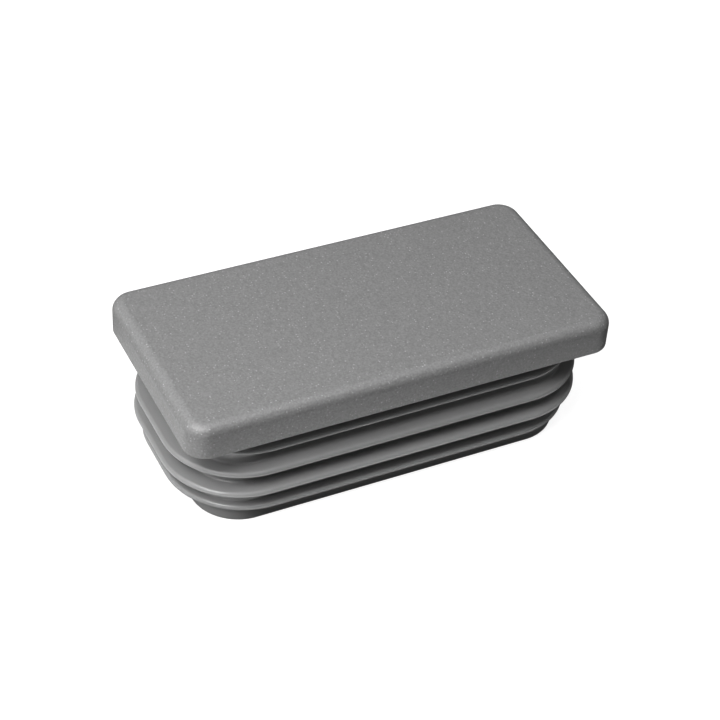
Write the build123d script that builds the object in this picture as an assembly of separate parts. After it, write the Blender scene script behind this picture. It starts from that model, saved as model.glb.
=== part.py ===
"""End cap for a 60 x 30 mm rectangular tube: one plastic moulding.

A cover plate closes the tube's mouth. Under it a hollow core carries four
flexible fins, which bend and grip the inside of the tube. All sizes are in
millimetres. The origin is the centre of the plate's underside, where the cap
stops against the tube's end. +X runs along the plate, and +Z out of the tube.
"""

import os
from math import hypot

from build123d import *

# Tube whose end the cap closes
TUBE_LENGTH = 60.0  # outside, along X
TUBE_WIDTH = 30.0  # outside, along Y

# Cover plate, flush with the tube's outside
PLATE_THICKNESS = 4.8
PLATE_CORNER_RADIUS = 3.0
PLATE_TOP_ROUNDING = 1.6
PLATE_LOWER_ROUNDING = 0.15

# Hollow core
CORE_END_SETBACK = 3.6  # from the tube's outside, at the two short ends
CORE_SIDE_SETBACK = 2.5  # from the tube's outside, along the two long sides
CORE_CORNER_RADIUS = 6.5
CORE_WALL = 2.0
CORE_RIM_ROUNDING = 0.3

# Sealing fins
FIN_SETBACKS = (1.1, 0.45, 0.3, 1.1)  # each rim to the tube's outside, from the plate downwards
FIN_CORNER_RADIUS = 10.7
FIN_PITCH = 3.22
FIRST_FIN_DROP = 2.67  # plate's underside to the first rim's lower edge
FIN_RIM_THICKNESS = 0.65
FIN_ROOT_THICKNESS = 1.1
FIN_UPPER_ROUNDING = 0.5  # rim's upper edge
FIN_LOWER_ROUNDING = 0.08  # rim's lower edge, nearly sharp
FIN_ROOT_FILLET = 0.3
FOOT_LENGTH = 2.67  # last rim's lower edge to the core's open rim

# Hollow inside the core
PLATE_SKIN = 2.2  # plastic left between the hollow and the plate's top
HOLLOW_DRAFT = 1.0  # degrees a side, which lets the moulding off its core pin
HOLLOW_CEILING_FILLET = 0.4
WEB_COUNT = 2
WEB_THICKNESS = 1.2  # at the lower edge
WEB_RECESS = 3.0  # open rim to the webs' lower edges
WEB_FILLET = 0.6

TOUCH = 1e-3  # two places closer than this are the same place

core_length = TUBE_LENGTH - 2 * CORE_END_SETBACK
core_width = TUBE_WIDTH - 2 * CORE_SIDE_SETBACK
core_depth = FIRST_FIN_DROP + FIN_PITCH * (len(FIN_SETBACKS) - 1) + FOOT_LENGTH
hollow_length = core_length - 2 * CORE_WALL
hollow_width = core_width - 2 * CORE_WALL
hollow_top = PLATE_THICKNESS - PLATE_SKIN
web_height = core_depth - WEB_RECESS + hollow_top


def slab(length, width, radius, low, high, taper=0.0):
    """Block with rounded corners between two heights. Its sides lean in by taper degrees."""
    outline = Pos(0, 0, low) * RectangleRounded(length, width, radius)
    return extrude(outline, high - low, dir=(0, 0, 1), taper=taper)


def level_edges(shape, height):
    """The shape's edges that lie flat at this height."""
    boxes = [(edge, edge.bounding_box()) for edge in shape.edges()]
    return [edge for edge, box in boxes if height - TOUCH < box.min.Z and box.max.Z < height + TOUCH]


def rise(edge):
    """Height between the edge's two ends."""
    return abs(edge.position_at(0).Z - edge.position_at(1).Z)


def core_offset(point):
    """How far outside the core's outline a point stands, seen from above."""
    along = abs(point.X) - (core_length / 2 - CORE_CORNER_RADIUS)
    across = abs(point.Y) - (core_width / 2 - CORE_CORNER_RADIUS)
    if along > 0 and across > 0:
        return hypot(along, across) - CORE_CORNER_RADIUS
    return max(along, across) - CORE_CORNER_RADIUS


def root_edges(body):
    """Edges where the fins and the plate spring from the core's wall."""
    found = []
    for edge in body.edges():
        points = [edge.position_at(part) for part in (0, 0.5, 1)]
        on_wall = all(abs(core_offset(point)) < TOUCH for point in points)
        at_rim = points[1].Z < -core_depth + CORE_RIM_ROUNDING + TOUCH
        if on_wall and not at_rim and rise(edge) < FIN_ROOT_THICKNESS / 2:
            found.append(edge)
    return found


def cover_plate():
    """Plate with rounded corners, a soft top edge and a nearly sharp lower edge."""
    plate = slab(TUBE_LENGTH, TUBE_WIDTH, PLATE_CORNER_RADIUS, 0, PLATE_THICKNESS)
    plate = fillet(level_edges(plate, PLATE_THICKNESS), PLATE_TOP_ROUNDING)
    return fillet(level_edges(plate, 0), PLATE_LOWER_ROUNDING)


def core_block():
    """The core's outside, run up into the plate so that the two are one piece."""
    core = slab(core_length, core_width, CORE_CORNER_RADIUS, -core_depth, hollow_top)
    return fillet(level_edges(core, -core_depth), CORE_RIM_ROUNDING)


def fin(setback, lower_edge):
    """One fin: a blade that thickens towards the core, with a rim rounded off from above."""
    middle = lower_edge + FIN_RIM_THICKNESS / 2
    half_rim = FIN_RIM_THICKNESS / 2
    half_root = FIN_ROOT_THICKNESS / 2
    inset = CORE_WALL / 2
    root = RectangleRounded(core_length - 2 * inset, core_width - 2 * inset, CORE_CORNER_RADIUS - inset)
    rim = RectangleRounded(TUBE_LENGTH - 2 * setback, TUBE_WIDTH - 2 * setback, FIN_CORNER_RADIUS)
    sections = [
        Pos(0, 0, middle - half_root) * root,
        Pos(0, 0, middle - half_rim) * rim,
        Pos(0, 0, middle + half_rim) * rim,
        Pos(0, 0, middle + half_root) * root,
    ]
    blade = loft(sections, ruled=True)
    blade = fillet(level_edges(blade, middle + half_rim), FIN_UPPER_ROUNDING)
    return fillet(level_edges(blade, middle - half_rim), FIN_LOWER_ROUNDING)


def web(position):
    """Cross web at one place along X, thicker towards the plate as its draft asks."""
    outline = Pos(position, 0, WEB_RECESS - core_depth) * Rectangle(WEB_THICKNESS, hollow_width + CORE_WALL)
    return extrude(outline, web_height, dir=(0, 0, 1), taper=-HOLLOW_DRAFT)


def web_positions():
    """Places along X that part the hollow into equal cells."""
    cell = hollow_length / (WEB_COUNT + 1)
    return [cell * (number + 1) - hollow_length / 2 for number in range(WEB_COUNT)]


def beside_web(edge):
    """Whether the edge runs up beside one of the cross webs."""
    return any(abs(edge.center().X - position) < WEB_THICKNESS for position in web_positions())


def hollow():
    """The space inside the core, open downwards and parted by the cross webs."""
    radius = CORE_CORNER_RADIUS - CORE_WALL
    space = slab(hollow_length, hollow_width, radius, -core_depth, hollow_top, HOLLOW_DRAFT)
    for position in web_positions():
        space -= web(position)
    corners = [edge for edge in space.edges() if rise(edge) > web_height / 2 and beside_web(edge)]
    space = fillet(corners, WEB_FILLET)
    return fillet(level_edges(space, hollow_top), HOLLOW_CEILING_FILLET)


def end_cap():
    """The whole moulding."""
    body = core_block()
    for number, setback in enumerate(FIN_SETBACKS):
        body += fin(setback, -FIRST_FIN_DROP - number * FIN_PITCH)
    body += cover_plate()
    body = fillet(root_edges(body), FIN_ROOT_FILLET)
    return body - hollow()


os.makedirs("parts", exist_ok=True)
export_step(end_cap(), "parts/end_cap.step")
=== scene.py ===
"""Looks of an end cap for a rectangular tube: one grey plastic moulding.

A cover plate with a fine spark-eroded grain closes the tube. Under it a hollow
core carries four smooth sealing fins, and two cross webs part the hollow.
The whole moulding is one closed skin, in metres. It is described by level rings,
each a rounded rectangle seen from above, and a Geometry Nodes tree lays the skin
through them. The origin is the centre of the plate's underside. +X runs along
the plate, +Y across it and +Z out of the tube.
"""

import logging
import math
from dataclasses import dataclass
from enum import Enum
from typing import Any, Iterable, Sequence

import bmesh
import bpy
from mathutils import Matrix, Vector


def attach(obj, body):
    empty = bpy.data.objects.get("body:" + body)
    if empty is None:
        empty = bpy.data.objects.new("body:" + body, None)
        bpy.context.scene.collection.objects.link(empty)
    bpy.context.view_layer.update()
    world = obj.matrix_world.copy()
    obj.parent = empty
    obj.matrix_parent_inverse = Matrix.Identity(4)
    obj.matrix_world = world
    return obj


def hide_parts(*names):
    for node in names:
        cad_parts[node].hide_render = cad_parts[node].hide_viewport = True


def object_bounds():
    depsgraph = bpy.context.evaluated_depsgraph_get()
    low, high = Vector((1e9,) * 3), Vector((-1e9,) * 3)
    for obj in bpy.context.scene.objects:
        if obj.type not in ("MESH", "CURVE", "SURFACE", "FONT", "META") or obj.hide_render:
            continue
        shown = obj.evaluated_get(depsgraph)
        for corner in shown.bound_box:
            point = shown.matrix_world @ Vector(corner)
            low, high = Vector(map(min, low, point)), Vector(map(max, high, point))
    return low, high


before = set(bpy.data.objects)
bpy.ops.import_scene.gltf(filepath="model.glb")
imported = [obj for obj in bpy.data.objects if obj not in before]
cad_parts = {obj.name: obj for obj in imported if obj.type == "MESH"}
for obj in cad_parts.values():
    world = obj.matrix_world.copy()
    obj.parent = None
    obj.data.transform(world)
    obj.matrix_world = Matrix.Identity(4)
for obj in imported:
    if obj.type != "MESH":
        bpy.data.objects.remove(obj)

cad_low, cad_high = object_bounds()

LOG = logging.getLogger("end_cap")
MM = 0.001  # one millimetre in metres
NODE = "end_cap"
BODY = "root"
WELD = 0.002 * MM  # two points closer than this are one
SHARP_ANGLE = math.radians(35.0)  # faces that meet at more than this show a crisp edge
CORNER_STEPS = 26  # straight pieces round a large corner
SMALL_CORNER_STEPS = 6  # and round a small one, inside the hollow
BEND_STEPS = 6  # straight pieces round a small bend of the section

# Numbers of a Mix node's sockets, whose names repeat: first input, second input, result
VECTOR_MIX = (4, 5, 1)
COLOUR_MIX = (6, 7, 2)


class Kind(Enum):
    """Data types that a stored value can have."""

    NUMBER = "FLOAT"
    VECTOR = "FLOAT_VECTOR"


class Attribute(Enum):
    """Values that the rings and the stations hand to the node tree, each with its data type."""

    HIGH_CORNER = ("high_corner", Kind.VECTOR)
    LOW_CORNER = ("low_corner", Kind.VECTOR)
    END_SHARE = ("end_share", Kind.NUMBER)
    KEEP = ("keep", Kind.VECTOR)
    TURN = ("turn", Kind.VECTOR)
    SLIDE = ("slide", Kind.VECTOR)

    def __init__(self, label: str, kind: Kind) -> None:
        """Keeps the value's label and its data type."""
        self.label = label
        self.kind = kind


@dataclass(frozen=True)
class Outline:
    """A rounded rectangle seen from above, with a corner radius for each end."""

    low_x: float
    high_x: float
    half_width: float
    low_radius: float
    high_radius: float

    @classmethod
    def centred(cls, half_length: float, half_width: float, radius: float) -> "Outline":
        """Makes an outline about the origin from half its two sizes and its corners' radius."""
        return cls(-half_length, half_length, half_width, radius, radius)

    def grown(self, by: float) -> "Outline":
        """Moves the outline's line outwards, or inwards where the distance is negative.

        Args:
            by: Distance to move each side.

        Returns:
            The new outline, with its corners about the same centres.
        """
        return Outline(
            self.low_x - by,
            self.high_x + by,
            self.half_width + by,
            self.low_radius + by,
            self.high_radius + by,
        )

    def high_corner(self) -> Vector:
        """Centre of the corners at the high end, with their radius as third value."""
        radius = self.high_radius
        return Vector((self.high_x - radius, self.half_width - radius, radius))

    def low_corner(self) -> Vector:
        """Centre of the corners at the low end, with their radius as third value."""
        radius = self.low_radius
        return Vector((self.low_x + radius, self.half_width - radius, radius))


@dataclass(frozen=True)
class Ring:
    """One level line of the skin."""

    outline: Outline
    height: float


@dataclass(frozen=True)
class Station:
    """One place round a ring: on a corner's arc, or on a long side at a given X."""

    end_share: float  # 1 at the high end's corners, 0 at the low end's
    keep: Vector  # what the corner's centre is multiplied by
    turn: Vector  # direction from the corner's centre
    slide: Vector  # shift along a long side


def bend(
    centre: Outline, height: float, radius: float, start: float, stop: float, steps: int = BEND_STEPS
) -> list[Ring]:
    """Rings round a bend of the section.

    Args:
        centre: Outline on which the bend's centre lies.
        height: Height of the bend's centre.
        radius: Radius of the bend.
        start: Angle of the first ring in degrees: 0 is above the centre, 90 outside it.
        stop: Angle of the last ring in degrees.
        steps: Straight pieces in the bend.

    Returns:
        The rings from start to stop.
    """
    angles = [math.radians(start + (stop - start) * step / steps) for step in range(steps + 1)]
    return [
        Ring(centre.grown(radius * math.sin(angle)), height + radius * math.cos(angle))
        for angle in angles
    ]


def arc_stations(high_end: bool, quarter: int, steps: int) -> list[Station]:
    """Stations round one corner.

    Args:
        high_end: Whether the corner is at the high end of X.
        quarter: Number of the corner, counted from +X +Y and anticlockwise.
        steps: Straight pieces in the corner.

    Returns:
        The stations, anticlockwise.
    """
    across = 1.0 if quarter < 2 else -1.0
    found = []
    for step in range(steps + 1):
        angle = math.radians(90.0 * (quarter + step / steps))
        turn = Vector((math.cos(angle), math.sin(angle), 0.0))
        found.append(Station(float(high_end), Vector((1.0, across, 0.0)), turn, Vector()))
    return found


def side_stations(places: Sequence[float], across: float) -> list[Station]:
    """Stations on a long side.

    Args:
        places: Where they are along X, in order.
        across: 1 on the +Y side and -1 on the other.

    Returns:
        The stations in the same order.
    """
    turn = Vector((0.0, across, 0.0))
    return [Station(1.0, turn, turn, Vector((x, 0.0, 0.0))) for x in places]


def round_trip(high_steps: int, low_steps: int, places: Sequence[float] = ()) -> list[Station]:
    """Stations all the way round a ring, anticlockwise from its +X end.

    Args:
        high_steps: Straight pieces in each corner at the high end.
        low_steps: Straight pieces in each corner at the low end.
        places: X of more stations on both long sides.

    Returns:
        The stations.
    """
    rising = sorted(places)
    return [
        *arc_stations(True, 0, high_steps),
        *side_stations(rising[::-1], 1.0),
        *arc_stations(False, 1, low_steps),
        *arc_stations(False, 2, low_steps),
        *side_stations(rising, -1.0),
        *arc_stations(True, 3, high_steps),
    ]


def linear(hex_colour: str) -> tuple[float, float, float, float]:
    """Turns an sRGB colour to the linear values that a shader takes.

    Args:
        hex_colour: Six hexadecimal digits.

    Returns:
        Red, green, blue and an alpha of one.
    """
    parts = [int(hex_colour[i : i + 2], 16) / 255 for i in (0, 2, 4)]
    red, green, blue = (p / 12.92 if p <= 0.04045 else ((p + 0.055) / 1.055) ** 2.4 for p in parts)
    return (red, green, blue, 1.0)


def add_node(
    tree: bpy.types.NodeTree, kind: str, inputs: dict[int | str, Any] | None = None, **settings: Any
) -> bpy.types.Node:
    """Adds a node with its settings, values and links.

    Args:
        tree: Node tree that gets the node.
        kind: The node's type name.
        inputs: For each input, by name or number, a value or the socket that feeds it.
        **settings: The node's own properties.

    Returns:
        The new node.
    """
    node = tree.nodes.new(kind)
    for name, value in settings.items():
        setattr(node, name, value)
    for key, value in (inputs or {}).items():
        if isinstance(value, bpy.types.NodeSocket):
            tree.links.new(value, node.inputs[key])
        else:
            node.inputs[key].default_value = value
    return node


def bare_tree(owner: bpy.types.Material | bpy.types.World) -> bpy.types.NodeTree:
    """Gives a material or the world an empty node tree.

    Args:
        owner: The material or the world.

    Returns:
        Its node tree.
    """
    owner.use_nodes = True
    owner.node_tree.nodes.clear()
    return owner.node_tree


def add_object(name: str, data: bpy.types.ID) -> bpy.types.Object:
    """Makes an object and links it to the scene.

    Args:
        name: Its name.
        data: Its mesh, lamp or camera.

    Returns:
        The object.
    """
    made = bpy.data.objects.new(name, data)
    bpy.context.scene.collection.objects.link(made)
    return made


@dataclass(frozen=True)
class SmoothPlastic:
    """Polyethylene moulded against a polished steel mould, as on the fins and the core.

    It is a satin surface: broad soft highlights, and faint flow marks that only
    show where the light grazes it.
    """

    name: str = "polyethylene_smooth_moulded"
    colour: str = "7e7e7e"
    roughness: float = 0.34
    ior: float = 1.51  # polyethylene's
    flow_length: float = 2.4 * MM  # the melt's flow marks follow each other every few millimetres
    flow_detail: float = 4.0
    flow_depth: float = 0.012 * MM
    tone_length: float = 6.0 * MM  # the colour drifts a little from one side of a fin to the next
    tone_detail: float = 3.0
    tone_change: float = 0.04

    def build(self) -> bpy.types.Material:
        """Makes the material.

        Returns:
            The material.
        """
        material = bpy.data.materials.new(self.name)
        tree = bare_tree(material)
        place = add_node(tree, "ShaderNodeTexCoord").outputs["Object"]
        tones = add_node(
            tree,
            "ShaderNodeTexNoise",
            {"Vector": place, "Scale": 1 / self.tone_length, "Detail": self.tone_detail},
        )
        base = Vector(linear(self.colour)[:3])
        ramp = add_node(tree, "ShaderNodeValToRGB", {"Fac": tones.outputs["Fac"]})
        for element, side in zip(ramp.color_ramp.elements, (-1, 1)):
            element.color = (*(base * (1 + side * self.tone_change)), 1.0)
        flow = add_node(
            tree,
            "ShaderNodeTexNoise",
            {"Vector": place, "Scale": 1 / self.flow_length, "Detail": self.flow_detail},
        )
        bump = add_node(
            tree, "ShaderNodeBump", {"Height": flow.outputs["Fac"], "Distance": self.flow_depth}
        )
        shader = add_node(
            tree,
            "ShaderNodeBsdfPrincipled",
            {
                "Base Color": ramp.outputs["Color"],
                "Roughness": self.roughness,
                "IOR": self.ior,
                "Normal": bump.outputs["Normal"],
            },
        )
        add_node(tree, "ShaderNodeOutputMaterial", {"Surface": shader.outputs["BSDF"]})
        return material


@dataclass(frozen=True)
class GrainedPlastic:
    """Polyethylene moulded against a spark-eroded mould, as on the cover plate.

    The sparks leave a carpet of tiny craters, which breaks the light up into a dull mottled grey. About
    a third of them have a domed floor, more or less glossy, whose paler colour is a painted glint. The
    gloss of these floors gives single bright glints, above all along the rounded edges.

    Real craters are about 0.1 mm across, which is less than a pixel of the
    render. The grain is drawn three to four times as coarse, so that it shows.
    """

    name: str = "polyethylene_spark_eroded"
    colour: str = "747474"
    roughness: float = 0.48  # of the craters, dull beside the domes
    ior: float = 1.51  # polyethylene's
    crater_size: float = 0.4 * MM
    crater_softness: float = 0.6  # how far the craters' rims are rounded
    crater_depth: float = 0.025 * MM
    grit_size: float = 0.35 * MM  # unevenness that runs across the craters
    grit_detail: float = 2.0
    grit_depth: float = 0.032 * MM
    dome_spacing: float = 0.36 * MM
    dome_reach: float = 0.42  # a dome's radius, as a share of the spacing
    dome_height: float = 0.035 * MM
    dome_share: float = 0.35  # share of the craters that have a dome
    dome_roughness: float = 0.2
    dome_painted_glint_tone: float = 2.1  # painted glint: a dome's paleness, as a multiple of the colour
    tone_length: float = 0.26 * MM
    tone_detail: float = 3.0
    tone_change: float = 0.14  # how much darker and paler the flecks are, as a share of the colour
    tone_spread: float = 0.2  # the smaller, the more of the surface is at one of these two ends

    def build(self) -> bpy.types.Material:
        """Makes the material.

        Returns:
            The material.
        """
        material = bpy.data.materials.new(self.name)
        tree = bare_tree(material)
        place = add_node(tree, "ShaderNodeTexCoord").outputs["Object"]
        domes = self.domes(tree, place)
        gloss = add_node(
            tree,
            "ShaderNodeMapRange",
            {"Value": domes, "To Min": self.roughness, "To Max": self.dome_roughness},
        ).outputs["Result"]
        shader = add_node(
            tree,
            "ShaderNodeBsdfPrincipled",
            {
                "Base Color": self.mottle(tree, place, domes),
                "Roughness": gloss,
                "IOR": self.ior,
                "Normal": self.relief(tree, place, domes),
            },
        )
        add_node(tree, "ShaderNodeOutputMaterial", {"Surface": shader.outputs["BSDF"]})
        return material

    def domes(self, tree: bpy.types.NodeTree, place: bpy.types.NodeSocket) -> bpy.types.NodeSocket:
        """Draws which craters have a domed floor, and how strongly.

        Args:
            tree: The material's node tree.
            place: Where the surface is, on the object.

        Returns:
            A value that swells to between 0 and 1 at each dome's middle, and is 0 elsewhere.
        """
        cells = add_node(tree, "ShaderNodeTexVoronoi", {"Vector": place, "Scale": 1 / self.dome_spacing})
        lot = add_node(tree, "ShaderNodeSeparateColor", {"Color": cells.outputs["Color"]}).outputs["Red"]
        drawn = add_node(
            tree, "ShaderNodeMapRange", {"Value": lot, "From Min": 1 - self.dome_share}
        ).outputs["Result"]
        swell = add_node(
            tree,
            "ShaderNodeMapRange",
            {
                "Value": cells.outputs["Distance"],
                "From Max": self.dome_reach,
                "To Min": 1.0,
                "To Max": 0.0,
            },
            interpolation_type="SMOOTHSTEP",
        ).outputs["Result"]
        return add_node(tree, "ShaderNodeMath", {0: swell, 1: drawn}, operation="MULTIPLY").outputs[0]

    def mottle(
        self, tree: bpy.types.NodeTree, place: bpy.types.NodeSocket, domes: bpy.types.NodeSocket
    ) -> bpy.types.NodeSocket:
        """Colours the surface with darker and paler flecks, and paints the domes paler as a painted
        glint.

        Args:
            tree: The material's node tree.
            place: Where the surface is, on the object.
            domes: How much of a dome there is.

        Returns:
            The colour.
        """
        tones = add_node(
            tree,
            "ShaderNodeTexNoise",
            {"Vector": place, "Scale": 1 / self.tone_length, "Detail": self.tone_detail},
        )
        base = Vector(linear(self.colour)[:3])
        ramp = add_node(tree, "ShaderNodeValToRGB", {"Fac": tones.outputs["Fac"]})
        for element, side in zip(ramp.color_ramp.elements, (-1, 1)):
            element.position = 0.5 + side * self.tone_spread
            element.color = (*(base * (1 + side * self.tone_change)), 1.0)
        # The domes' paler colour is a painted glint, bright whatever the light
        first, second, result = COLOUR_MIX
        return add_node(
            tree,
            "ShaderNodeMix",
            {"Factor": domes, first: ramp.outputs["Color"], second: (*(base * self.dome_painted_glint_tone), 1.0)},
            data_type="RGBA",
        ).outputs[result]

    def relief(
        self, tree: bpy.types.NodeTree, place: bpy.types.NodeSocket, domes: bpy.types.NodeSocket
    ) -> bpy.types.NodeSocket:
        """Lays the craters, the grit and the domes over each other as bumps.

        Args:
            tree: The material's node tree.
            place: Where the surface is, on the object.
            domes: How much of a dome there is.

        Returns:
            The surface's normal.
        """
        craters = add_node(
            tree,
            "ShaderNodeTexVoronoi",
            {"Vector": place, "Scale": 1 / self.crater_size, "Smoothness": self.crater_softness},
            feature="SMOOTH_F1",
        )
        grit = add_node(
            tree,
            "ShaderNodeTexNoise",
            {"Vector": place, "Scale": 1 / self.grit_size, "Detail": self.grit_detail},
        )
        normal = None
        for height, depth in (
            (craters.outputs["Distance"], self.crater_depth),
            (grit.outputs["Fac"], self.grit_depth),
            (domes, self.dome_height),
        ):
            inputs = {"Height": height, "Distance": depth}
            if normal is not None:
                inputs["Normal"] = normal
            normal = add_node(tree, "ShaderNodeBump", inputs).outputs["Normal"]
        return normal


@dataclass(frozen=True)
class SkinTree:
    """Geometry Nodes tree that lays a closed strip of skin through level rings.

    The object's own mesh has one point for each ring, and a second object one
    for each station. Each pair of ring and station gives one point of the skin.
    """

    name: str = "skin_through_rings"

    def build(self) -> bpy.types.NodeTree:
        """Makes the tree.

        Returns:
            The node tree, with its inputs named.
        """
        tree = bpy.data.node_groups.new(self.name, "GeometryNodeTree")
        for name, kind in (
            ("Rings", "NodeSocketGeometry"),
            ("Stations", "NodeSocketObject"),
            ("Weld Distance", "NodeSocketFloat"),
            ("Smooth Finish", "NodeSocketMaterial"),
            ("Grained Finish", "NodeSocketMaterial"),
            ("Grain Above", "NodeSocketFloat"),
        ):
            tree.interface.new_socket(name=name, in_out="INPUT", socket_type=kind)
        tree.interface.new_socket(name="Skin", in_out="OUTPUT", socket_type="NodeSocketGeometry")
        given = add_node(tree, "NodeGroupInput").outputs
        rings = given["Rings"]
        stations = add_node(
            tree, "GeometryNodeObjectInfo", {"Object": given["Stations"]}
        ).outputs["Geometry"]
        grid, ring, station = self.grid(tree, rings, stations)
        place = self.place(tree, rings, ring, stations, station)
        laid = add_node(
            tree, "GeometryNodeSetPosition", {"Geometry": grid, "Position": place}
        ).outputs[0]
        welded = add_node(
            tree, "GeometryNodeMergeByDistance", {"Geometry": laid, "Distance": given["Weld Distance"]}
        ).outputs[0]
        shaded = add_node(tree, "GeometryNodeSetShadeSmooth", {"Geometry": welded}).outputs[0]
        here = add_node(tree, "GeometryNodeInputPosition").outputs["Position"]
        level = add_node(tree, "ShaderNodeSeparateXYZ", {"Vector": here}).outputs["Z"]
        grained = add_node(
            tree,
            "FunctionNodeCompare",
            {0: level, 1: given["Grain Above"]},
            data_type="FLOAT",
            operation="GREATER_THAN",
        ).outputs["Result"]
        solid = add_node(tree, "GeometryNodeRealizeInstances", {"Geometry": shaded}).outputs[0]
        smooth = add_node(
            tree, "GeometryNodeSetMaterial", {"Geometry": solid, "Material": given["Smooth Finish"]}
        ).outputs[0]
        dressed = add_node(
            tree,
            "GeometryNodeSetMaterial",
            {"Geometry": smooth, "Selection": grained, "Material": given["Grained Finish"]},
        ).outputs[0]
        add_node(tree, "NodeGroupOutput", {0: dressed})
        return tree

    @staticmethod
    def grid(
        tree: bpy.types.NodeTree, rings: bpy.types.NodeSocket, stations: bpy.types.NodeSocket
    ) -> tuple[bpy.types.NodeSocket, bpy.types.NodeSocket, bpy.types.NodeSocket]:
        """Makes the skin's points, in a column for each station and one more that closes it.

        Args:
            tree: The node tree.
            rings: Geometry with a point for each ring.
            stations: Geometry with a point for each station.

        Returns:
            The grid, and each point's numbers of its ring and its station.
        """
        ring_count, station_count = (
            add_node(
                tree, "GeometryNodeAttributeDomainSize", {"Geometry": geometry}, component="MESH"
            ).outputs["Point Count"]
            for geometry in (rings, stations)
        )
        columns = add_node(
            tree, "FunctionNodeIntegerMath", {0: station_count, 1: 1}, operation="ADD"
        ).outputs[0]
        grid = add_node(
            tree, "GeometryNodeMeshGrid", {"Vertices X": ring_count, "Vertices Y": columns}
        ).outputs["Mesh"]
        index = add_node(tree, "GeometryNodeInputIndex").outputs["Index"]
        ring = add_node(
            tree, "FunctionNodeIntegerMath", {0: index, 1: columns}, operation="DIVIDE"
        ).outputs[0]
        column = add_node(
            tree, "FunctionNodeIntegerMath", {0: index, 1: columns}, operation="MODULO"
        ).outputs[0]
        station = add_node(
            tree, "FunctionNodeIntegerMath", {0: column, 1: station_count}, operation="MODULO"
        ).outputs[0]
        return grid, ring, station

    @staticmethod
    def sampled(
        tree: bpy.types.NodeTree,
        source: bpy.types.NodeSocket,
        at: bpy.types.NodeSocket,
        attribute: Attribute | None = None,
    ) -> bpy.types.NodeSocket:
        """Reads a stored value, or the position, at one point of a source.

        Args:
            tree: The node tree.
            source: Geometry that holds the points.
            at: Number of the point.
            attribute: The stored value, or None for the position.

        Returns:
            The value.
        """
        kind = (attribute.kind if attribute else Kind.VECTOR).value
        if attribute:
            value = add_node(
                tree, "GeometryNodeInputNamedAttribute", {"Name": attribute.label}, data_type=kind
            ).outputs["Attribute"]
        else:
            value = add_node(tree, "GeometryNodeInputPosition").outputs["Position"]
        taken = add_node(
            tree, "GeometryNodeSampleIndex", {"Geometry": source, "Index": at}, data_type=kind
        )
        tree.links.new(value, taken.inputs["Value"])
        return taken.outputs["Value"]

    def place(
        self,
        tree: bpy.types.NodeTree,
        rings: bpy.types.NodeSocket,
        ring: bpy.types.NodeSocket,
        stations: bpy.types.NodeSocket,
        station: bpy.types.NodeSocket,
    ) -> bpy.types.NodeSocket:
        """Works out where each point of the skin lies.

        Args:
            tree: The node tree.
            rings: Geometry with a point for each ring.
            ring: Number of the point's ring.
            stations: Geometry with a point for each station.
            station: Number of the point's station.

        Returns:
            The position.
        """
        high = self.sampled(tree, rings, ring, Attribute.HIGH_CORNER)
        low = self.sampled(tree, rings, ring, Attribute.LOW_CORNER)
        height = self.sampled(tree, rings, ring)
        share = self.sampled(tree, stations, station, Attribute.END_SHARE)
        keep = self.sampled(tree, stations, station, Attribute.KEEP)
        turn = self.sampled(tree, stations, station, Attribute.TURN)
        slide = self.sampled(tree, stations, station, Attribute.SLIDE)
        first, second, result = VECTOR_MIX
        corner = add_node(
            tree,
            "ShaderNodeMix",
            {"Factor": share, first: low, second: high},
            data_type="VECTOR",
            clamp_factor=True,
        ).outputs[result]
        radius = add_node(tree, "ShaderNodeSeparateXYZ", {"Vector": corner}).outputs["Z"]
        place = add_node(
            tree, "ShaderNodeVectorMath", {0: corner, 1: keep}, operation="MULTIPLY"
        ).outputs[0]
        reach = add_node(
            tree, "ShaderNodeVectorMath", {"Vector": turn, "Scale": radius}, operation="SCALE"
        ).outputs[0]
        for part in (reach, slide, height):
            place = add_node(
                tree, "ShaderNodeVectorMath", {0: place, 1: part}, operation="ADD"
            ).outputs[0]
        return place


@dataclass(frozen=True)
class CoverPlate:
    """The plate that closes the tube's mouth, flush with the tube's outside."""

    half_length: float = cad_high.x
    half_width: float = cad_high.y
    top: float = cad_high.z
    corner_radius: float = 3.0 * MM
    top_rounding: float = 1.6 * MM
    lower_rounding: float = 0.15 * MM
    top_steps: int = 14

    def rings(self) -> list[Ring]:
        """Rings from the middle of the top to the plate's lower edge.

        Returns:
            The rings. The first one is folded to a line, which closes the top.
        """
        edge = Outline.centred(self.half_length, self.half_width, self.corner_radius)
        fold = Outline.centred(self.half_length - self.half_width, 0.0, 0.0)
        upper = bend(
            edge.grown(-self.top_rounding),
            height=self.top - self.top_rounding,
            radius=self.top_rounding,
            start=0.0,
            stop=90.0,
            steps=self.top_steps,
        )
        lower = bend(
            edge.grown(-self.lower_rounding),
            height=self.lower_rounding,
            radius=self.lower_rounding,
            start=90.0,
            stop=180.0,
        )
        return [Ring(fold, self.top), *upper, *lower]


@dataclass(frozen=True)
class Core:
    """The hollow core under the plate, down to its open rim."""

    end_setback: float = 3.6 * MM  # from the tube's outside, at the two short ends
    side_setback: float = 2.5 * MM  # from the tube's outside, along the two long sides
    corner_radius: float = 6.5 * MM
    open_rim: float = cad_low.z
    wall: float = 2.0 * MM
    rim_rounding: float = 0.3 * MM
    root_fillet: float = 0.3 * MM  # under the plate and at the fins' roots

    def outline(self) -> Outline:
        """The core's outside, seen from above."""
        half_length, half_width = cad_high.x - self.end_setback, cad_high.y - self.side_setback
        return Outline.centred(half_length, half_width, self.corner_radius)

    def under_plate(self) -> list[Ring]:
        """Rings of the fillet between the plate's underside and the core."""
        fillet = self.root_fillet
        return bend(self.outline().grown(fillet), height=-fillet, radius=fillet, start=0.0, stop=-90.0)

    def foot(self) -> list[Ring]:
        """Rings round the outer edge of the open rim."""
        centre = self.outline().grown(-self.rim_rounding)
        return bend(centre, self.open_rim + self.rim_rounding, self.rim_rounding, start=90.0, stop=180.0)


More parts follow.
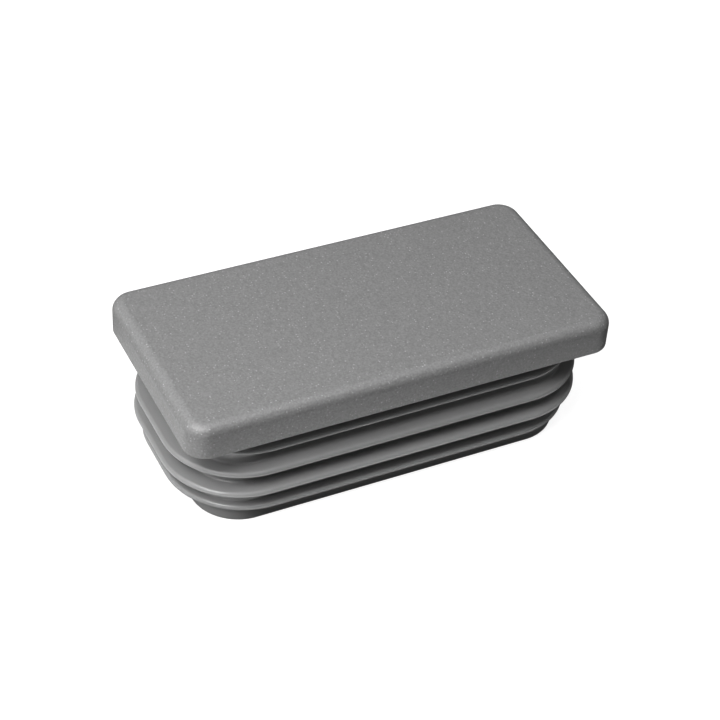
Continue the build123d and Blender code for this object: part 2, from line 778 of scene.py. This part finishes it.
@dataclass(frozen=True)
class FinStack:
    """Four flexible fins round the core, one below the other."""

    core: Core
    half_length: float = cad_high.x
    half_width: float = cad_high.y
    setbacks: tuple[float, ...] = (1.1 * MM, 0.45 * MM, 0.3 * MM, 1.1 * MM)  # from the tube's outside
    corner_radius: float = 10.7 * MM
    pitch: float = 3.22 * MM
    first_drop: float = 2.67 * MM  # plate's underside to the first rim's lower edge
    rim_thickness: float = 0.65 * MM
    root_thickness: float = 0.97 * MM  # where the root's fillet ends
    upper_rounding: float = 0.5 * MM
    lower_rounding: float = 0.08 * MM

    def fin(self, number: int) -> list[Ring]:
        """Rings of one fin, from its upper root round the rim to its lower root.

        Args:
            number: The fin's number, counted from the plate.

        Returns:
            The rings.
        """
        setback = self.setbacks[number]
        fillet = self.core.root_fillet
        root = self.core.outline().grown(fillet)
        rim = Outline.centred(self.half_length - setback, self.half_width - setback, self.corner_radius)
        half_rim = self.rim_thickness / 2
        half_root = self.root_thickness / 2
        middle = half_rim - self.first_drop - number * self.pitch
        slope = math.degrees(math.atan((half_root - half_rim) / (rim.half_width - root.half_width)))
        upper_root = bend(root, middle + half_root + fillet, fillet, start=270.0, stop=180.0 + slope)
        upper_rim = bend(
            rim.grown(-self.upper_rounding),
            height=middle + half_rim - self.upper_rounding,
            radius=self.upper_rounding,
            start=slope,
            stop=90.0,
        )
        lower_rim = bend(
            rim.grown(-self.lower_rounding),
            height=middle - half_rim + self.lower_rounding,
            radius=self.lower_rounding,
            start=90.0,
            stop=180.0 - slope,
        )
        lower_root = bend(root, middle - half_root - fillet, fillet, start=-slope, stop=-90.0)
        return [*upper_root, *upper_rim, *lower_rim, *lower_root]

    def rings(self) -> list[Ring]:
        """Rings of all fins, from the plate downwards."""
        return [ring for number in range(len(self.setbacks)) for ring in self.fin(number)]


@dataclass(frozen=True)
class Hollow:
    """The space inside the core, parted into cells by cross webs."""

    core: Core
    plate_skin: float = 2.2 * MM  # plastic left between the hollow and the plate's top
    draft: float = math.radians(1.0)
    ceiling_fillet: float = 0.4 * MM
    web_count: int = 2
    web_thickness: float = 1.2 * MM  # at the lower edge
    web_recess: float = 3.0 * MM  # open rim to the webs' lower edges
    web_fillet: float = 0.6 * MM

    def web_edge(self) -> float:
        """Height of the webs' lower edges."""
        return self.core.open_rim + self.web_recess

    def inset(self, height: float) -> float:
        """How far the draft has moved a wall inwards at a height above the open rim."""
        return (height - self.core.open_rim) * math.tan(self.draft)

    def mouth(self) -> Outline:
        """The hollow's outline at the open rim."""
        return self.core.outline().grown(-self.core.wall)

    def web_places(self) -> list[float]:
        """Works out where the webs part the hollow into equal cells.

        Returns:
            X of each web.
        """
        length = 2 * self.mouth().high_x
        cells = self.web_count + 1
        return [length * (number + 1) / cells - length / 2 for number in range(self.web_count)]

    def wall_places(self) -> list[float]:
        """X where the webs' fillets meet the long walls, at the webs' lower edges."""
        reach = self.web_thickness / 2 + self.web_fillet
        return [place + side * reach for place in self.web_places() for side in (-1, 1)]

    def cell_outline(self, number: int, height: float) -> Outline:
        """Outline of one cell at a height.

        Args:
            number: The cell's number, counted from -X.
            height: The height.

        Returns:
            The outline.
        """
        walls = self.mouth().grown(-self.inset(height))
        face = self.web_thickness / 2 + (height - self.web_edge()) * math.tan(self.draft)
        webs = self.web_places()
        first = number == 0
        last = number == self.web_count
        return Outline(
            walls.low_x if first else webs[number - 1] + face,
            walls.high_x if last else webs[number] - face,
            walls.half_width,
            walls.low_radius if first else self.web_fillet,
            walls.high_radius if last else self.web_fillet,
        )

    def mouth_rings(self) -> list[Ring]:
        """Rings of the hollow from the open rim up to the webs' lower edges."""
        heights = (self.core.open_rim, self.web_edge())
        return [Ring(self.mouth().grown(-self.inset(height)), height) for height in heights]

    def cell_rings(self, number: int) -> list[Ring]:
        """Rings of one cell from the webs' lower edges up to its closed ceiling.

        Args:
            number: The cell's number, counted from -X.

        Returns:
            The rings. The last one is folded to a line half the cell long, which closes the ceiling.
        """
        ceiling = cad_high.z - self.plate_skin
        spring = ceiling - self.ceiling_fillet
        top = self.cell_outline(number, spring)
        middle = (top.low_x + top.high_x) / 2
        reach = (top.high_x - top.low_x) / 4
        return [
            Ring(self.cell_outline(number, self.web_edge()), self.web_edge()),
            *bend(top.grown(-self.ceiling_fillet), spring, self.ceiling_fillet, start=90.0, stop=0.0),
            Ring(Outline(middle - reach, middle + reach, 0.0, 0.0, 0.0), ceiling),
        ]

    def cell_steps(self, number: int) -> tuple[int, int]:
        """Counts the straight pieces in a cell's corners: the cells at the ends have large ones.

        Args:
            number: The cell's number, counted from -X.

        Returns:
            The pieces in each corner at its high end, and at its low end.
        """
        high = CORNER_STEPS if number == self.web_count else SMALL_CORNER_STEPS
        low = CORNER_STEPS if number == 0 else SMALL_CORNER_STEPS
        return high, low


def point_object(name: str, points: Iterable[Vector]) -> bpy.types.Object:
    """Makes an object of loose points.

    Args:
        name: Its name.
        points: Where the points are.

    Returns:
        The object.
    """
    mesh = bpy.data.meshes.new(name)
    mesh.from_pydata([tuple(point) for point in points], [], [])
    return add_object(name, mesh)


def write_attribute(made: bpy.types.Object, attribute: Attribute, values: Iterable[Any]) -> None:
    """Stores one value for each point of an object.

    Args:
        made: The object.
        attribute: What the values are.
        values: One value for each point.
    """
    layer = made.data.attributes.new(attribute.label, attribute.kind.value, "POINT")
    field = "vector" if attribute.kind is Kind.VECTOR else "value"
    for item, value in zip(layer.data, values):
        setattr(item, field, value)


@dataclass
class Moulding:
    """The whole end cap: plate, core, fins and hollow as one closed skin."""

    plate: CoverPlate
    core: Core
    fins: FinStack
    hollow: Hollow
    smooth: bpy.types.Material
    grained: bpy.types.Material
    tree: bpy.types.NodeTree
    name: str = "end_cap_moulding"
    grain_above: float = 0.02 * MM  # the grain begins just above the plate's underside
    area_weight: int = 100  # the most there is: wide faces decide the normals beside them

    def strip(
        self, rings: Sequence[Ring], stations: Sequence[Station], grain_above: float
    ) -> bpy.types.Mesh:
        """Lays one strip of skin through rings with the node tree.

        Args:
            rings: The rings in order.
            stations: The stations round each ring.
            grain_above: Height above which the skin has the grained finish.

        Returns:
            The strip as a plain mesh.
        """
        line = point_object("rings", [Vector((0.0, 0.0, ring.height)) for ring in rings])
        write_attribute(line, Attribute.HIGH_CORNER, [ring.outline.high_corner() for ring in rings])
        write_attribute(line, Attribute.LOW_CORNER, [ring.outline.low_corner() for ring in rings])
        loop = point_object("stations", [station.turn for station in stations])
        write_attribute(loop, Attribute.END_SHARE, [station.end_share for station in stations])
        write_attribute(loop, Attribute.KEEP, [station.keep for station in stations])
        write_attribute(loop, Attribute.TURN, [station.turn for station in stations])
        write_attribute(loop, Attribute.SLIDE, [station.slide for station in stations])
        modifier = line.modifiers.new("skin", "NODES")
        modifier.node_group = self.tree
        values = {
            "Stations": loop,
            "Weld Distance": WELD,
            "Smooth Finish": self.smooth,
            "Grained Finish": self.grained,
            "Grain Above": grain_above,
        }
        for item in self.tree.interface.items_tree:
            if item.name in values:
                modifier[item.identifier] = values[item.name]
        graph = bpy.context.evaluated_depsgraph_get()
        mesh = bpy.data.meshes.new_from_object(line.evaluated_get(graph))
        for scaffold in (line, loop):
            bpy.data.objects.remove(scaffold)
        return mesh

    def skin_strips(self) -> list[bpy.types.Mesh]:
        """Lays the outside with the hollow's mouth, and one strip for each cell.

        Returns:
            The strips. They meet at the webs' lower edges.
        """
        outside = [
            *self.plate.rings(),
            *self.core.under_plate(),
            *self.fins.rings(),
            *self.core.foot(),
            *self.hollow.mouth_rings(),
        ]
        round_outside = round_trip(CORNER_STEPS, CORNER_STEPS, self.hollow.wall_places())
        strips = [self.strip(outside, round_outside, self.grain_above)]
        for number in range(self.hollow.web_count + 1):
            stations = round_trip(*self.hollow.cell_steps(number))
            # The cells end under the plate's top, so none of their skin is grained
            strips.append(self.strip(self.hollow.cell_rings(number), stations, self.plate.top))
        return strips

    def build(self) -> bpy.types.Object:
        """Joins the strips, closes the webs' lower edges and dresses the result.

        Returns:
            The finished piece, riding on its body.
        """
        finishes = (self.smooth, self.grained)
        joined = bmesh.new()
        for strip in self.skin_strips():
            placed = len(joined.faces)
            joined.from_mesh(strip)
            joined.faces.ensure_lookup_table()
            # A strip numbers its materials in its own way
            for face in joined.faces[placed:]:
                face.material_index = finishes.index(strip.materials[face.material_index])
        bmesh.ops.remove_doubles(joined, verts=joined.verts, dist=WELD)
        open_edges = [edge for edge in joined.edges if edge.is_boundary]
        bmesh.ops.holes_fill(joined, edges=open_edges, sides=0)
        bmesh.ops.recalc_face_normals(joined, faces=joined.faces)
        mesh = bpy.data.meshes.new(self.name)
        joined.to_mesh(mesh)
        joined.free()
        for material in finishes:
            mesh.materials.append(material)
        mesh.shade_smooth()
        mesh.set_sharp_from_angle(angle=SHARP_ANGLE)
        piece = add_object(self.name, mesh)
        self.even_normals(piece)
        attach(piece, BODY)
        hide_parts(NODE)
        return piece

    def even_normals(self, piece: bpy.types.Object) -> None:
        """Keeps flat faces flat beside the roundings, by weighting normals with area.

        Args:
            piece: The piece, whose mesh is replaced.
        """
        modifier = piece.modifiers.new("even_normals", "WEIGHTED_NORMAL")
        modifier.mode = "FACE_AREA"
        modifier.weight = self.area_weight
        modifier.keep_sharp = True
        graph = bpy.context.evaluated_depsgraph_get()
        piece.data = bpy.data.meshes.new_from_object(piece.evaluated_get(graph))
        piece.data.name = self.name
        piece.modifiers.clear()


def direction(azimuth: float, elevation: float) -> Vector:
    """Unit vector towards a place round the cap.

    Args:
        azimuth: Degrees from the front, positive towards +X.
        elevation: Degrees above the horizon.

    Returns:
        The vector.
    """
    turn, rise = math.radians(azimuth), math.radians(elevation)
    return Vector((math.sin(turn) * math.cos(rise), -math.cos(turn) * math.cos(rise), math.sin(rise)))


def area_light(
    name: str, place: Vector, away: Vector, sides: tuple[float, float], power: float
) -> bpy.types.Object:
    """Makes a rectangular lamp that the camera doesn't see.

    Args:
        name: Its name.
        place: Its centre.
        away: Direction that its back faces.
        sides: Its two sides.
        power: Its power in watts.

    Returns:
        The lamp.
    """
    data = bpy.data.lights.new(name, "AREA")
    data.shape = "RECTANGLE"
    data.size, data.size_y = sides
    data.energy = power
    light = add_object(name, data)
    light.location = place
    light.rotation_mode = "QUATERNION"
    light.rotation_quaternion = away.to_track_quat("Z", "Y")
    light.visible_camera = False
    return light


@dataclass(frozen=True)
class Softbox:
    """A square softbox that points at the cap. Its sizes are in metres, its power in watts."""

    name: str
    azimuth: float  # degrees, 0 in front of the cap and 90 at its +X end
    elevation: float
    distance: float
    side: float
    power: float
    mirrored: bool = True  # whether gloss shows it

    def build(self) -> None:
        """Makes the softbox."""
        away = direction(self.azimuth, self.elevation)
        light = area_light(self.name, away * self.distance, away, (self.side, self.side), self.power)
        light.visible_glossy = self.mirrored


@dataclass(frozen=True)
class Fill(Softbox):
    """A softbox that only lifts the shade, without a glare on the plastic."""

    mirrored: bool = False


@dataclass(frozen=True)
class TableGlow:
    """A strip of the white table that throws light up at the cap."""

    name: str
    centre: tuple[float, float]
    sides: tuple[float, float]
    power: float
    level: float = cad_low.z + 0.1 * MM  # just above the table

    def build(self) -> None:
        """Makes the glow."""
        place, down = Vector((*self.centre, self.level)), Vector((0.0, 0.0, -1.0))
        area_light(self.name, place, down, self.sides, self.power)


@dataclass(frozen=True)
class Studio:
    """Pale floor, soft light and the camera at the picture's angle."""

    floor_level: float = cad_low.z - 0.02 * MM  # just clear of the open rim
    floor_half: float = 3.0  # metres from the cap to each edge
    floor_colour: str = "fafafa"
    floor_glow: float = 0.77  # share of the floor's light that comes through it from below
    sky_colour: str = "ffffff"
    sky_level: float = 0.77  # as pale as the far floor, so that no horizon shows
    ambient: float = 0.06  # the surroundings' strength as a light
    lights: tuple[Softbox | TableGlow, ...] = (
        Softbox("left_softbox", azimuth=-90.0, elevation=62.0, distance=0.3, side=0.1, power=0.36),
        Softbox("front_left_softbox", azimuth=-56.0, elevation=47.0, distance=0.3, side=0.1, power=0.62),
        Softbox("front_softbox", azimuth=5.0, elevation=68.0, distance=0.3, side=0.1, power=0.29),
        Fill("low_left_fill", azimuth=-95.0, elevation=32.0, distance=0.3, side=0.1, power=0.2),
        Fill("floor_left_fill", azimuth=-90.0, elevation=7.0, distance=0.25, side=0.08, power=0.28),
        Fill("right_fill", azimuth=80.0, elevation=12.0, distance=0.45, side=0.3, power=0.44),
        Fill("back_fill", azimuth=160.0, elevation=12.0, distance=0.45, side=0.3, power=0.42),
        Softbox("left_spot", azimuth=-72.0, elevation=55.0, distance=0.4, side=0.02, power=0.08),
        Softbox("right_spot", azimuth=115.0, elevation=65.0, distance=0.4, side=0.02, power=0.12),
        TableGlow(
            "front_glow", centre=(-18.0 * MM, -23.5 * MM), sides=(54.0 * MM, 7.0 * MM), power=0.0044
        ),
        TableGlow(
            "right_glow", centre=(27.0 * MM, -23.5 * MM), sides=(36.0 * MM, 7.0 * MM), power=0.0023
        ),
        TableGlow("left_glow", centre=(-39.0 * MM, 0.0), sides=(12.0 * MM, 60.0 * MM), power=0.003),
    )
    # The camera stands where a fit to the cap's outline in the picture puts it
    camera_azimuth: float = -28.078
    camera_elevation: float = 39.724
    camera_roll: float = 4.083
    camera_distance: float = 263.812 * MM
    camera_right: float = -0.112 * MM
    camera_up: float = -3.347 * MM
    camera_clip: float = 10.0 * MM
    lens: float = 100.0  # in millimetres, as the sensor's width
    sensor: float = 36.0
    print_gamma: float = 0.8  # under 1, for the harder contrast of a product print
    exposure: float = 0.27  # in stops

    def build_floor(self) -> None:
        """Makes the floor: matte white paper lit from below, as on a light table.

        It has no gloss and takes only a faint shadow. Its glow doesn't reach the
        cap, so that the slots between the fins stay dark.
        """
        mesh = bpy.data.meshes.new("floor")
        h, z = self.floor_half, self.floor_level
        mesh.from_pydata([(-h, -h, z), (h, -h, z), (h, h, z), (-h, h, z)], [], [(0, 1, 2, 3)])
        material = bpy.data.materials.new("floor_matte_paper")
        tree = bare_tree(material)
        colour = linear(self.floor_colour)
        paper = add_node(tree, "ShaderNodeBsdfDiffuse", {"Color": colour})
        glow = add_node(tree, "ShaderNodeEmission", {"Color": colour})
        lit = add_node(
            tree, "ShaderNodeMixShader", {0: self.floor_glow, 1: paper.outputs[0], 2: glow.outputs[0]}
        )
        add_node(tree, "ShaderNodeOutputMaterial", {"Surface": lit.outputs[0]})
        mesh.materials.append(material)
        floor = add_object("floor", mesh)
        floor.visible_diffuse = False
        floor.visible_glossy = False

    def build_sky(self) -> None:
        """Makes the surroundings: pale to the eye, dim as a light."""
        world = bpy.data.worlds.new("studio")
        bpy.context.scene.world = world
        tree = bare_tree(world)
        seen = add_node(tree, "ShaderNodeLightPath").outputs["Is Camera Ray"]
        colour = linear(self.sky_colour)
        dim = add_node(tree, "ShaderNodeBackground", {"Color": colour, "Strength": self.ambient})
        pale = add_node(tree, "ShaderNodeBackground", {"Color": colour, "Strength": self.sky_level})
        both = add_node(tree, "ShaderNodeMixShader", {0: seen, 1: dim.outputs[0], 2: pale.outputs[0]})
        add_node(tree, "ShaderNodeOutputWorld", {"Surface": both.outputs[0]})

    def build_camera(self) -> None:
        """Makes the camera and hands it to the scene."""
        back = direction(self.camera_azimuth, self.camera_elevation)
        level = (-back).cross(Vector((0.0, 0.0, 1.0))).normalized()
        roll = Matrix.Rotation(math.radians(self.camera_roll), 3, back)
        right = roll @ level
        up = back.cross(right)
        data = bpy.data.cameras.new("camera")
        data.sensor_width = self.sensor
        data.lens = self.lens
        data.clip_start = self.camera_clip
        camera = add_object("camera", data)
        place = back * self.camera_distance + right * self.camera_right + up * self.camera_up
        turn = Matrix((right, up, back)).transposed().to_4x4()
        camera.matrix_world = Matrix.Translation(place) @ turn
        bpy.context.scene.camera = camera

    def build(self) -> None:
        """Makes the floor, the surroundings, the lights and the camera."""
        self.build_floor()
        self.build_sky()
        for light in self.lights:
            light.build()
        self.build_camera()
        view = bpy.context.scene.view_settings
        view.view_transform = "Standard"
        view.gamma = self.print_gamma
        view.exposure = self.exposure


def main() -> None:
    """Builds the cap and its studio, and reports each piece."""
    logging.basicConfig(level=logging.INFO, format="%(name)s: %(message)s")
    core = Core()
    moulding = Moulding(
        plate=CoverPlate(),
        core=core,
        fins=FinStack(core),
        hollow=Hollow(core),
        smooth=SmoothPlastic().build(),
        grained=GrainedPlastic().build(),
        tree=SkinTree().build(),
    )
    piece = moulding.build()
    LOG.info("%s has %d faces", piece.name, len(piece.data.polygons))
    Studio().build()
    LOG.info("the studio is built")


if __name__ == "__main__":
    main()
